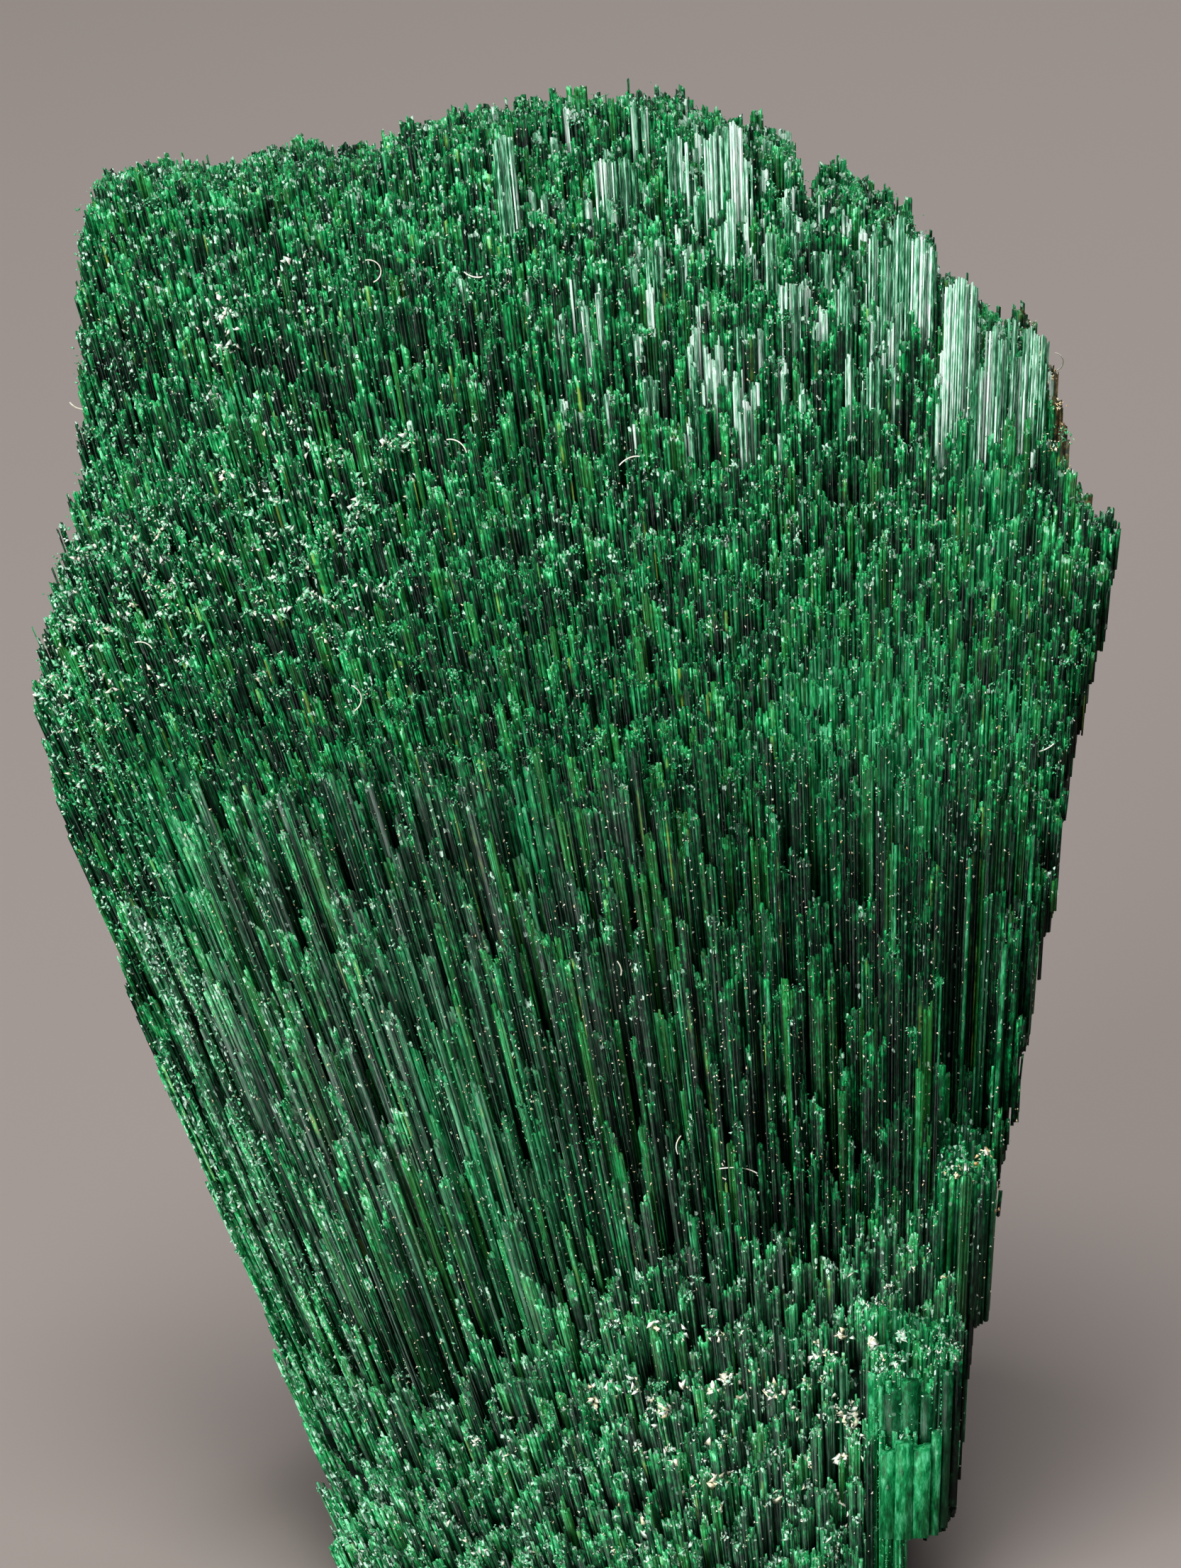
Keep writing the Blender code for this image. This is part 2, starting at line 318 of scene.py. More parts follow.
def malachite_with_painted_light():
    """Malachite grown as needles and broken across them.

    The needles' sides carry fine lengthwise striae and a painted silver sheen, and some a painted glow.
    Their tips are painted pale and minty, a painted highlight; further down a painted shade darkens the deep
    green body.
    """
    material, tree, surface = new_material("malachite_fibrous_broken")
    needle = add(tree, "ShaderNodeAttribute", attribute_name="needle")
    broken = add(tree, "ShaderNodeAttribute", attribute_name="broken")
    finish = add(tree, "ShaderNodeAttribute", attribute_name="finish")
    broken = add(tree, "ShaderNodeSeparateXYZ", {0: broken.outputs["Vector"]})
    finish = add(tree, "ShaderNodeSeparateXYZ", {0: finish.outputs["Vector"]})
    depth, own, shared = (broken.outputs[axis] for axis in range(3))
    silk, rind, glow = (finish.outputs[axis] for axis in range(3))

    # Striae 0.07 mm apart, eight times as long as they are wide
    along = add(tree, "ShaderNodeVectorMath", {0: needle.outputs["Vector"], 1: (1.0, 1.0, 0.12)},
                operation="MULTIPLY")
    striae = add(tree, "ShaderNodeTexNoise",
                 {"Vector": along.outputs[0], "Scale": 1 / 0.07, "Detail": 3.0, "Roughness": 0.6})
    # Clearer and cloudier stretches of a needle, about 1 mm long
    patches = add(tree, "ShaderNodeVectorMath",
                  {0: needle.outputs["Vector"], 1: (2.2, 2.2, 1.0)}, operation="MULTIPLY")
    patches = add(tree, "ShaderNodeTexNoise",
                  {"Vector": patches.outputs[0], "Scale": 1.0, "Detail": 2.0})

    # Grains 0.09 mm across: a random tone, and painted glints where the needle is crushed
    grains = add(tree, "ShaderNodeVectorMath", {0: needle.outputs["Vector"], 1: (1.0, 1.0, 0.6)},
                 operation="MULTIPLY")
    grains = add(tree, "ShaderNodeTexVoronoi", {"Vector": grains.outputs[0], "Scale": 1 / 0.09})
    grains = add(tree, "ShaderNodeSeparateColor", {0: grains.outputs["Color"]})

    # Near the tip the needle is painted paler and minty: a painted highlight where light falls on the break
    tip = add(tree, "ShaderNodeMapRange",
              {0: depth, 1: 0.05, 2: 0.45, 3: 1.0, 4: 0.0}, interpolation_type="SMOOTHSTEP")
    # Below the tip the needle is painted darker, down to 2.2 mm: a painted shade between the needles
    shade = add(tree, "ShaderNodeMapRange", {0: depth, 1: 0.2, 2: 2.2, 3: 1.0, 4: 0.0})
    light = add(tree, "ShaderNodeMath", {0: striae.outputs["Fac"], 1: 1.0, 2: -0.985},
                operation="MULTIPLY_ADD")
    light = add(tree, "ShaderNodeMath", {0: patches.outputs["Fac"], 1: 0.9, 2: light.outputs[0]},
                operation="MULTIPLY_ADD")
    light = add(tree, "ShaderNodeMath", {0: grains.outputs[0], 1: 0.28, 2: light.outputs[0]},
                operation="MULTIPLY_ADD")
    light = add(tree, "ShaderNodeMath", {0: own, 1: 0.2, 2: light.outputs[0]}, operation="MULTIPLY_ADD")
    light = add(tree, "ShaderNodeMath", {0: shared, 1: 0.24, 2: light.outputs[0]}, operation="MULTIPLY_ADD")
    light = add(tree, "ShaderNodeMath", {0: shade.outputs[0], 1: 0.2, 2: light.outputs[0]},
                operation="MULTIPLY_ADD")
    light = add(tree, "ShaderNodeMath", {0: tip.outputs[0], 1: 0.14, 2: light.outputs[0]},
                operation="MULTIPLY_ADD")
    green = add(tree, "ShaderNodeValToRGB", {0: light.outputs[0]}, stops=(
        (0.06, "#000704"), (1.0, "#84E6AE"), (0.36, "#011F10"), (0.55, "#034422"), (0.72, "#03743A"),
        (0.87, "#20AC5E"),
    ))
    # Some bundles lean to a yellower green
    warm = add(tree, "ShaderNodeMapRange", {0: shared, 1: 0.8, 2: 1.0, 3: 0.0, 4: 0.4})
    green = add(tree, "ShaderNodeMix", {0: warm.outputs[0], 6: green.outputs[0], 7: colour("#2C7A2A")},
                data_type="RGBA")
    # A few needles are golden, each for a millimetre or two of its length
    gold = add(tree, "ShaderNodeMapRange", {0: own, 1: 0.96, 2: 1.0, 3: 0.0, 4: 0.6})
    golden = add(tree, "ShaderNodeMapRange", {0: patches.outputs["Fac"], 1: 0.5, 2: 0.62})
    gold = add(tree, "ShaderNodeMath", {0: gold.outputs[0], 1: golden.outputs[0]}, operation="MULTIPLY")
    green = add(tree, "ShaderNodeMix", {0: gold.outputs[0], 6: green.outputs[2], 7: colour("#8FA63A")},
                data_type="RGBA")
    # A quarter of the grains at a tip are painted pale, as crushed powder and painted glints, and few further
    # down
    pale_powder_and_painted_glints = add(tree, "ShaderNodeMapRange", {0: tip.outputs[0], 1: 0.0, 2: 1.0, 3: 0.995, 4: 0.8})
    pale_powder_and_painted_glints = add(tree, "ShaderNodeMath", {0: grains.outputs[1], 1: pale_powder_and_painted_glints.outputs[0]},
                  operation="GREATER_THAN")
    pale_powder_and_painted_glints = add(tree, "ShaderNodeMath", {0: pale_powder_and_painted_glints.outputs[0], 1: grains.outputs[2]},
                  operation="MULTIPLY")
    green = add(tree, "ShaderNodeMix", {0: pale_powder_and_painted_glints.outputs[0], 6: green.outputs[2], 7: colour("#C6E8D4")},
                data_type="RGBA")
    # Some needles are painted a brighter, purer green, a painted glow for light coming through them, mottled by
    # cracks 0.2 mm apart
    cracks = add(tree, "ShaderNodeVectorMath", {0: needle.outputs["Vector"], 1: (1.0, 1.0, 0.25)},
                 operation="MULTIPLY")
    cracks = add(tree, "ShaderNodeTexNoise",
                 {"Vector": cracks.outputs[0], "Scale": 1 / 0.2, "Detail": 3.0, "Roughness": 0.7})
    lit = add(tree, "ShaderNodeValToRGB", {0: cracks.outputs["Fac"]}, stops=(
        (0.32, "#033C20"), (0.7, "#62D49A"), (0.5, "#0E8A4A"),
    ))
    clear = add(tree, "ShaderNodeMix", {0: glow, 6: green.outputs[2], 7: lit.outputs[0]},
                data_type="RGBA")
    # A painted silver sheen in streaks: each strand has a brightness of its own
    sheen_streaks = add(tree, "ShaderNodeMath", {0: own, 1: 0.55, 2: striae.outputs["Fac"]},
                operation="MULTIPLY_ADD")
    painted_silver = add(tree, "ShaderNodeValToRGB", {0: sheen_streaks.outputs[0]}, stops=(
        (0.5, "#08351E"), (0.96, "#E2F6EB"), (0.64, "#2B754D"), (0.76, "#74B893"), (0.87, "#AEDDC4"),
    ))
    # The painted sheen fades from 3 to 9 mm below the tip
    painted_sheen_fade = add(tree, "ShaderNodeMapRange", {0: depth, 1: 3.0, 2: 9.0, 3: 1.0, 4: 0.1})
    painted_sheen_fade = add(tree, "ShaderNodeMath", {0: painted_sheen_fade.outputs[0], 1: silk}, operation="MULTIPLY")
    with_painted_sheen = add(tree, "ShaderNodeMix", {0: painted_sheen_fade.outputs[0], 6: clear.outputs[2], 7: painted_silver.outputs[0]},
                data_type="RGBA")
    # The rind clings in patches about 1 mm across, and is a gritty brown crust where it does
    clinging = add(tree, "ShaderNodeTexNoise",
                   {"Vector": needle.outputs["Vector"], "Scale": 1.0, "Detail": 4.0, "Roughness": 0.65})
    rind = add(tree, "ShaderNodeMath", {0: clinging.outputs["Fac"], 1: rind}, operation="ADD")
    rind = add(tree, "ShaderNodeMapRange", {0: rind.outputs[0], 1: 1.1, 2: 1.2, 3: 0.0, 4: 0.9})
    rind = rind.outputs[0]
    crust = add(tree, "ShaderNodeTexNoise",
                {"Vector": needle.outputs["Vector"], "Scale": 1 / 0.25, "Detail": 3.0})
    crust = add(tree, "ShaderNodeValToRGB", {0: crust.outputs["Fac"]}, stops=(
        (0.35, "#1C150C"), (0.7, "#7E6340"), (0.5, "#41311C"),
    ))
    weathered = add(tree, "ShaderNodeMix", {0: rind, 6: with_painted_sheen.outputs[2], 7: crust.outputs[0]},
                    data_type="RGBA")
    tree.links.new(weathered.outputs[2], surface.inputs["Base Color"])

    rough = add(tree, "ShaderNodeMapRange", {0: patches.outputs["Fac"], 1: 0.3, 2: 0.7, 3: 0.3, 4: 0.5})
    rough = add(tree, "ShaderNodeMath", {0: rind, 1: 0.4, 2: rough.outputs[0]}, operation="MULTIPLY_ADD")
    tree.links.new(rough.outputs[0], surface.inputs["Roughness"])
    surface.inputs["IOR"].default_value = 1.55
    surface.inputs["Specular IOR Level"].default_value = 0.14
    bump = add(tree, "ShaderNodeBump",
               {"Height": striae.outputs["Fac"], "Strength": 0.6, "Distance": 0.03 * MM})
    tree.links.new(bump.outputs[0], surface.inputs["Normal"])
    return material


def malachite_in_painted_shade():
    """Malachite deep between the needles, painted near black as shade."""
    material, tree, surface = new_material("malachite_fibrous_deep")
    place = add(tree, "ShaderNodeTexCoord")
    grain = add(tree, "ShaderNodeTexNoise",
                {"Vector": place.outputs["Object"], "Scale": 1 / (0.5 * MM), "Detail": 2.0})
    green = add(tree, "ShaderNodeValToRGB", {0: grain.outputs["Fac"]}, stops=(
        (0.35, "#020906"), (0.7, "#08291A"),
    ))
    tree.links.new(green.outputs[0], surface.inputs["Base Color"])
    surface.inputs["Roughness"].default_value = 0.6
    surface.inputs["Specular IOR Level"].default_value = 0.1
    return material


def cut_malachite():
    """The foot, sawn and ground flat across the needles: a mosaic of their sections, dull."""
    material, tree, surface = new_material("malachite_sawn_across")
    place = add(tree, "ShaderNodeTexCoord")
    flat = add(tree, "ShaderNodeVectorMath", {0: place.outputs["Object"], 1: (1.0, 1.0, 0.0)},
               operation="MULTIPLY")
    sections = add(tree, "ShaderNodeTexVoronoi", {"Vector": flat.outputs[0], "Scale": 1 / (0.3 * MM)})
    seams = add(tree, "ShaderNodeTexVoronoi", {"Vector": flat.outputs[0], "Scale": 1 / (0.3 * MM)},
                feature="DISTANCE_TO_EDGE")
    bands = add(tree, "ShaderNodeTexNoise", {"Vector": flat.outputs[0], "Scale": 1 / (4.0 * MM), "Detail": 3.0})
    tone = add(tree, "ShaderNodeSeparateColor", {0: sections.outputs["Color"]})
    tone = add(tree, "ShaderNodeMath", {0: tone.outputs[0], 1: 0.35, 2: 0.1}, operation="MULTIPLY_ADD")
    tone = add(tree, "ShaderNodeMath", {0: bands.outputs["Fac"], 1: 0.8, 2: tone.outputs[0]},
               operation="MULTIPLY_ADD")
    green = add(tree, "ShaderNodeValToRGB", {0: tone.outputs[0]}, stops=(
        (0.3, "#0A3B22"), (1.0, "#6DB68C"), (0.65, "#1F7044"),
    ))
    seam = add(tree, "ShaderNodeMapRange", {0: seams.outputs["Distance"], 1: 0.0, 2: 0.12, 3: 0.35, 4: 1.0})
    darker = add(tree, "ShaderNodeMix", {0: seam.outputs[0], 6: colour("#04140C"), 7: green.outputs[0]},
                 data_type="RGBA")
    tree.links.new(darker.outputs[2], surface.inputs["Base Color"])
    surface.inputs["Roughness"].default_value = 0.5
    bump = add(tree, "ShaderNodeBump",
               {"Height": seam.outputs[0], "Strength": 0.5, "Distance": 0.02 * MM})
    tree.links.new(bump.outputs[0], surface.inputs["Normal"])
    return material


def chips_and_painted_glints():
    """Malachite crushed to splinters: clear chips in greens, and white and peachy ones, many of them painted
    glints.
    """
    material, tree, surface = new_material("malachite_crushed_chips")
    tint = add(tree, "ShaderNodeAttribute", attribute_name="tint")
    tint = add(tree, "ShaderNodeSeparateXYZ", {0: tint.outputs["Vector"]})
    # The greens are crumbs; the white, cream and peach tints are pale crumbs and painted glints
    shade = add(tree, "ShaderNodeValToRGB", {0: tint.outputs[0]}, stops=(
        (0.0, "#0F8A45"), (1.0, "#E8B468"), (0.3, "#5CC489"), (0.55, "#B4E8CA"), (0.72, "#FFFFF6"),
        (0.88, "#F7EEC6"),
    ))
    tree.links.new(shade.outputs[0], surface.inputs["Base Color"])
    surface.inputs["Roughness"].default_value = 0.25
    return material


def settled_dust():
    """House dust: dull specks from cream to white."""
    material, tree, surface = new_material("dust_settled_dry")
    tint = add(tree, "ShaderNodeAttribute", attribute_name="tint")
    tint = add(tree, "ShaderNodeSeparateXYZ", {0: tint.outputs["Vector"]})
    shade = add(tree, "ShaderNodeValToRGB", {0: tint.outputs[0]}, stops=(
        (0.0, "#A5C4A8"), (1.0, "#FFE9B8"), (0.5, "#FFFBEA"),
    ))
    tree.links.new(shade.outputs[0], surface.inputs["Base Color"])
    surface.inputs["Roughness"].default_value = 0.9
    return material


def pale_lint():
    """Cotton lint, off-white and matt."""
    material, tree, surface = new_material("lint_cotton")
    place = add(tree, "ShaderNodeTexCoord")
    tone = add(tree, "ShaderNodeTexNoise", {"Vector": place.outputs["Object"], "Scale": 1 / (0.3 * MM)})
    shade = add(tree, "ShaderNodeValToRGB", {0: tone.outputs["Fac"]}, stops=(
        (0.3, "#E8E2C6"), (0.7, "#FFFEF8"),
    ))
    tree.links.new(shade.outputs[0], surface.inputs["Base Color"])
    surface.inputs["Roughness"].default_value = 0.8
    return material


# Needles, each one a copy of a broken crystal modelled once

SHAFT = 6.0  # of the crystal as modelled, in its own widths


def start_alone():
    bpy.ops.object.select_all(action="DESELECT")


def broken_crystal(sides, squash, breaks, seed):
    """A crystal one width across, its top broken off along slanting planes."""
    start_alone()
    bpy.ops.mesh.primitive_cylinder_add(
        vertices=sides, radius=0.5, depth=2 * SHAFT, end_fill_type="NGON", location=(0, 0, SHAFT))
    crystal = bpy.context.object
    bpy.ops.object.mode_set(mode="EDIT")
    bpy.ops.mesh.select_all(action="SELECT")
    bpy.ops.transform.resize(value=(1.0, squash, 1.0))
    bpy.ops.transform.vertex_random(offset=0.09, seed=seed)
    for lift, slant_x, slant_y in breaks:
        bpy.ops.mesh.select_all(action="SELECT")
        bpy.ops.mesh.bisect(
            plane_co=(0, 0, SHAFT + lift), plane_no=(slant_x, slant_y, 1.0),
            use_fill=True, clear_outer=True)
    bpy.ops.object.mode_set(mode="OBJECT")
    return read_shape(crystal)


def read_shape(model):
    """A small model as arrays, and the model itself cleared away."""
    mesh = model.data
    places = np.empty(len(mesh.vertices) * 3)
    mesh.vertices.foreach_get("co", places)
    corners = np.empty(len(mesh.loops), dtype=np.int32)
    mesh.loops.foreach_get("vertex_index", corners)
    sizes = np.empty(len(mesh.polygons), dtype=np.int32)
    mesh.polygons.foreach_get("loop_total", sizes)
    places = places.reshape(-1, 3) + model.location
    bpy.data.objects.remove(model)
    return {"places": places, "corners": corners, "sizes": sizes}


def crystal_kinds():
    """Needles as they break: square across, on a slant, or to an edge."""
    return [
        broken_crystal(3, 0.9, ((0.0, 0.25, -0.1),), 1),
        broken_crystal(4, 0.8, ((0.0, -0.45, -0.2),), 2),
        broken_crystal(3, 1.0, ((0.0, 0.1, -0.9),), 3),
        broken_crystal(3, 0.75, ((0.0, 0.8, 0.2),), 4),
        broken_crystal(4, 0.7, ((0.2, -0.9, 0.1), (0.1, 0.9, -0.2)), 5),
        broken_crystal(3, 1.0, ((0.0, -0.1, 0.35),), 6),
        broken_crystal(3, 1.0, ((0.0, -0.5, -0.3),), 7),
        broken_crystal(4, 0.6, ((0.0, -0.1, -0.15),), 8),
    ]


def splinter_kinds():
    """Slivers that stand off a needle, broken to a point or an edge."""
    return [
        broken_crystal(3, 0.8, ((0.0, 0.9, 0.4),), 21),
        broken_crystal(3, 1.0, ((0.0, -0.4, -1.2),), 22),
    ]


def join_copies(name, kinds, needles, material, chance, turned=math.pi):
    """One mesh of a crystal copied to every needle, stretched from its root to its broken tip."""
    count = len(needles["u"])
    kind_of = chance.integers(0, len(kinds), count)
    turn = chance.uniform(-turned, turned, count)
    parts = []
    for kind, crystal in enumerate(kinds):
        chosen = np.nonzero(kind_of == kind)[0]
        shape = crystal["places"]
        upper = shape[:, 2] > 0.5 * SHAFT
        wide = needles["width"][chosen, None]
        swing = turn[chosen, None]
        dx = (shape[:, 0] * np.cos(swing) - shape[:, 1] * np.sin(swing)) * wide
        dy = (shape[:, 0] * np.sin(swing) + shape[:, 1] * np.cos(swing)) * wide * needles["flat"][chosen, None]
        over = np.where(upper, shape[:, 2] - SHAFT, 0.0) * wide
        u, v = needles["u"][chosen, None], needles["v"][chosen, None]
        top, root = needles["top"][chosen, None], needles["root"][chosen, None]
        height = np.where(upper, top + over, root)
        u_all, v_all = u + 0.0 * dx, v + 0.0 * dx
        places = in_space(u_all, v_all, height)
        places[..., 0] += (dx + np.where(upper, needles["drift_x"][chosen, None], 0.0)) * MM
        places[..., 1] += (dy + np.where(upper, needles["drift_y"][chosen, None], 0.0)) * MM
        parts.append({
            "places": places.reshape(-1, 3),
            "needle": np.stack((u + dx, v + dy, height), axis=-1).reshape(-1, 3),
            "broken": spread(np.maximum(0.0, top + 0.6 * wide - height) * needles["fade"][chosen, None]
                             + needles["dull"][chosen, None],
                             needles["own"][chosen], needles["shared"][chosen]),
            "finish": spread(needles["silk"][chosen, None] + 0.0 * dx,
                             needles["rind"][chosen], needles["glow"][chosen]),
            "corners": crystal["corners"], "sizes": crystal["sizes"],
            "count": len(chosen), "per": len(shape),
        })
    return join_parts(name, parts, material)


def spread(first, second, third):
    """Three values for each copy, given to all of its corners."""
    second = np.repeat(second[:, None], first.shape[1], axis=1)
    third = np.repeat(third[:, None], first.shape[1], axis=1)
    return np.stack((first, second, third), axis=-1).reshape(-1, 3)


def join_parts(name, parts, material):
    places = np.concatenate([part["places"] for part in parts])
    corners, sizes, start = [], [], 0
    for part in parts:
        shifts = start + np.arange(part["count"]) * part["per"]
        corners.append((part["corners"][None, :] + shifts[:, None]).ravel())
        sizes.append(np.tile(part["sizes"], part["count"]))
        start += part["count"] * part["per"]
    corners = np.concatenate(corners).astype(np.int32)
    sizes = np.concatenate(sizes)
    mesh = bpy.data.meshes.new(name)
    mesh.vertices.add(len(places))
    mesh.vertices.foreach_set("co", places.astype(np.float32).ravel())
    mesh.loops.add(len(corners))
    mesh.loops.foreach_set("vertex_index", corners)
    mesh.polygons.add(len(sizes))
    mesh.polygons.foreach_set("loop_start", np.concatenate(([0], np.cumsum(sizes)[:-1])).astype(np.int32))
    for attribute in ("needle", "broken", "finish", "tint"):
        if attribute in parts[0]:
            layer = mesh.attributes.new(attribute, "FLOAT_VECTOR", "POINT")
            values = np.concatenate([part[attribute] for part in parts])
            layer.data.foreach_set("vector", values.astype(np.float32).ravel())
    mesh.update(calc_edges=True)
    mesh.materials.append(material)
    piece = bpy.data.objects.new(name, mesh)
    bpy.context.scene.collection.objects.link(piece)
    dress(piece)
    triangles = int((sizes - 2).sum())
    print(name, len(sizes), "faces", triangles, "triangles")
    return piece


def dress(piece):
    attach(piece, "root")
    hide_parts("malachite")


def even_places(v_range, height, spacing, chance):
    """Places evenly apart at one height of the fan, as arrays of u and v."""
    across_u = np.linspace(-9.0, 18.5, 1400)
    row_step = 0.87 * spacing / (1.0 + DEPTH_LEAN * height)
    all_u, all_v = [], []
    for row_v in np.arange(v_range[0], v_range[1], row_step):
        across_x = across_u + height * lean(across_u, row_v)
        x = np.arange(across_x[0], across_x[-1], spacing)
        x = x + chance.uniform(-0.45, 0.45, len(x)) * spacing
        all_u.append(np.interp(x, across_x, across_u))
        all_v.append(row_v + chance.uniform(-0.45, 0.45, len(x)) * row_step)
    u, v = np.concatenate(all_u), np.concatenate(all_v)
    kept = on_foot(u, v)
    return u[kept], v[kept]


def nearest(u, v, bundle_u, bundle_v, height):
    """For each place, the number of the nearest bundle at that height of the fan."""
    bundle_x = bundle_u + height * lean(bundle_u, bundle_v)
    tree = KDTree(len(bundle_u))
    for index in range(len(bundle_u)):
        tree.insert((bundle_x[index], bundle_v[index], 0.0), index)
    tree.balance()
    x = u + height * lean(u, v)
    return np.array([tree.find((x[index], v[index], 0.0))[1] for index in range(len(u))])


def grow(stretch, chance):
    """The needles of one stretch: where each stands, breaks off and begins, and its looks."""
    facts = STRETCHES[stretch]
    u, v = even_places(facts["v"], facts["height"], facts["spacing"], chance)
    bundle_u, bundle_v = even_places(facts["v"], facts["height"], facts["bundle"], chance)
    bundle = nearest(u, v, bundle_u, bundle_v, facts["height"])
    aside, behind = u - bundle_u[bundle], v - bundle_v[bundle]
    u = u - GATHER * aside
    v = v - GATHER * behind
    slide = facts["slide"] * np.clip(chance.normal(0.0, 1.0, len(bundle_u)), -1.8, 1.1)
    rise = chance.normal(0.0, facts["rise"], len(bundle_u))
    slant_u = chance.normal(0.0, 0.5, len(bundle_u))
    slant_v = chance.normal(0.2, 0.5, len(bundle_u))
    shared = chance.random(len(bundle_u))
    count = len(u)
    calmer = 1.0 - 0.35 * (1.0 - ease(bundle_u, 0.0, 4.0)) * (facts["v"][0] > -2.0)
    rise = rise * calmer
    of_bundle = top_height(bundle_u, bundle_v + slide) + rise
    own_top = top_height(u, v + slide[bundle])
    top = TOGETHER * of_bundle[bundle] + (1.0 - TOGETHER) * (own_top + rise[bundle])
    top = top + slant_u[bundle] * aside + slant_v[bundle] * behind + chance.normal(0.0, 0.09, count)
    # The left edge is broken down in a scatter of tips, some of them far below the others
    near_left = 1.0 - ease(u, *LEFT_CRUMBLED)
    fallen = 0.45 * chance.random(len(bundle_u))[bundle] ** 2 + 0.15 * chance.random(count) ** 3
    top = top - near_left * fallen * top * (1.0 - ease(v, -3.6, -1.8))
    if stretch == "corner_blocks":
        top = top - 3.5 * chance.random(count) ** 3 * (v < BLOCKS[0][2] + 0.6)
    below = underside_height(u, v)
    root = lowest_near(u, v, 0.6)
    root = np.minimum(root, top_height(u, v - 1.0)) - 1.0
    root = np.where(u > UNDERSIDE_FROM - 0.8, below, root)
    root = np.maximum(root, below)
    uneven = 0.5 * shared[bundle] + 0.5 * chance.random(count)
    root = root + uneven * (below > 0.0) * (stretch != "corner_blocks")
    top = np.maximum(top, below + 1.2)
    in_corner = in_block(BLOCKS[0], u, v) | in_block(BLOCKS[1], u, v)
    kept = (below == 0.0) | (top_height(u, v) - below > 1.5)
    kept &= in_corner == (stretch == "corner_blocks")
    needles = {
        "u": u, "v": v, "top": top, "root": np.minimum(root, top - 1.0),
        "width": facts["spacing"] * chance.uniform(0.9, 1.5, count),
        "flat": chance.uniform(0.7, 1.0, count),
        "drift_x": chance.normal(0.0, 0.02, count), "drift_y": chance.normal(0.0, 0.02, count),
        "own": chance.random(count), "shared": shared[bundle],
    }
    add_painted_sheen_glow_and_rind(needles, stretch, chance)
    return {name: values[kept] for name, values in needles.items()}


LEFT_CRUMBLED = (-7.6, -5.2)
GATHER = 0.27  # how far the needles of a bundle draw together, which opens dark gaps around it
TOGETHER = 0.75  # how far they break off at one height

# How much of the upper tier has a painted silver sheen, along u
PAINTED_SHEEN_ALONG_U = ((0.0, 0.0), (2.0, 0.06), (4.0, 0.12), (6.5, 0.28), (9.0, 0.14), (12.0, 0.25), (15.5, 0.35))
RIND_FROM = 15.4
# How much painted grey sheen the bare face has, along u
PAINTED_GREY_SHEEN = ((-7.4, 0.03), (-6.0, 0.08), (-1.0, 0.07), (3.0, 0.03), (8.0, 0.0))
# How fast the painted highlight at a tip gives way to painted shade below it, along u: slowly on the left edge
PAINTED_TIP_FADE = ((-7.3, 0.0), (-6.7, 0.04), (-6.0, 0.2), (-3.0, 0.6), (1.0, 1.0))


def add_painted_sheen_glow_and_rind(needles, stretch, chance):
    """Painted silver sheen, brown rind and a painted green glow, for each needle."""
    u, v, top, shared = needles["u"], needles["v"], needles["top"], needles["shared"]
    painted_silver = np.zeros(len(u))
    rind = np.zeros(len(u))
    # A few needles at random get a painted glow
    glow = np.where(chance.random(len(u)) < 0.07, 0.5, 0.0)
    if stretch == "upper_tier":
        painted_silver = np.where(shared < line(PAINTED_SHEEN_ALONG_U, u), 0.7, 0.0)
        rind = np.where(u > RIND_FROM, 0.62 + 0.2 * (top > 40.5), rind)
    if stretch == "bare_face":
        painted_silver = line(PAINTED_GREY_SHEEN, u) * np.where(shared < 0.5, 1.6, 0.7)
    if stretch == "low_ledge":
        painted_silver = painted_silver + 0.05
    if stretch == "back_steps":
        rind = np.where((u > 7.0) & (v > 9.4), 0.45 + 0.2 * shared, rind)
        rind = np.where(u > RIND_FROM - 0.4, 0.62, rind)
    if stretch == "corner_blocks":
        # The block's front faces get the most painted glow, its standing wall the least
        glow = np.where(u < BLOCK_WALL, np.where(v < -9.2, 0.8, 0.25), 0.1)
    for glow_u, glow_v, reach in PAINTED_GLOW_PLACES:
        away = ((u - glow_u) ** 2 + (v - glow_v) ** 2) / reach ** 2
        glow = np.maximum(glow, 0.65 * np.exp(-away) * (needles["own"] > 0.25))
    needles["silk"], needles["rind"], needles["glow"] = painted_silver, rind, glow
    needles["fade"] = line(PAINTED_TIP_FADE, u) if stretch in ("low_ledge", "bare_face") else np.ones(len(u))
    # Right of the middle of the bare face most needles get no painted highlight at their tips, so they are no
    # paler than their sides
    clean = (shared > 0.25) & (u > -1.0) & (stretch == "bare_face")
    needles["dull"] = np.where(clean, 0.35, 0.0)
    # Along the front of the shoulder the tips get less of the painted highlight
    if stretch == "shoulder":
        needles["dull"] = 0.16 * (1.0 - ease(v, 0.0, 1.6))


# Where a painted glow stands for light coming through the crystals: u, v and how far around
PAINTED_GLOW_PLACES = (
    (9.3, -0.7, 1.0), (10.8, -0.7, 1.0), (11.8, -0.6, 0.9), (14.3, -0.4, 0.5), (3.2, -1.7, 0.4),
    (-4.8, -1.4, 0.8), (0.2, -4.4, 0.8), (1.8, -4.2, 0.5), (8.9, -8.1, 0.4), (13.5, 1.8, 0.8),
)


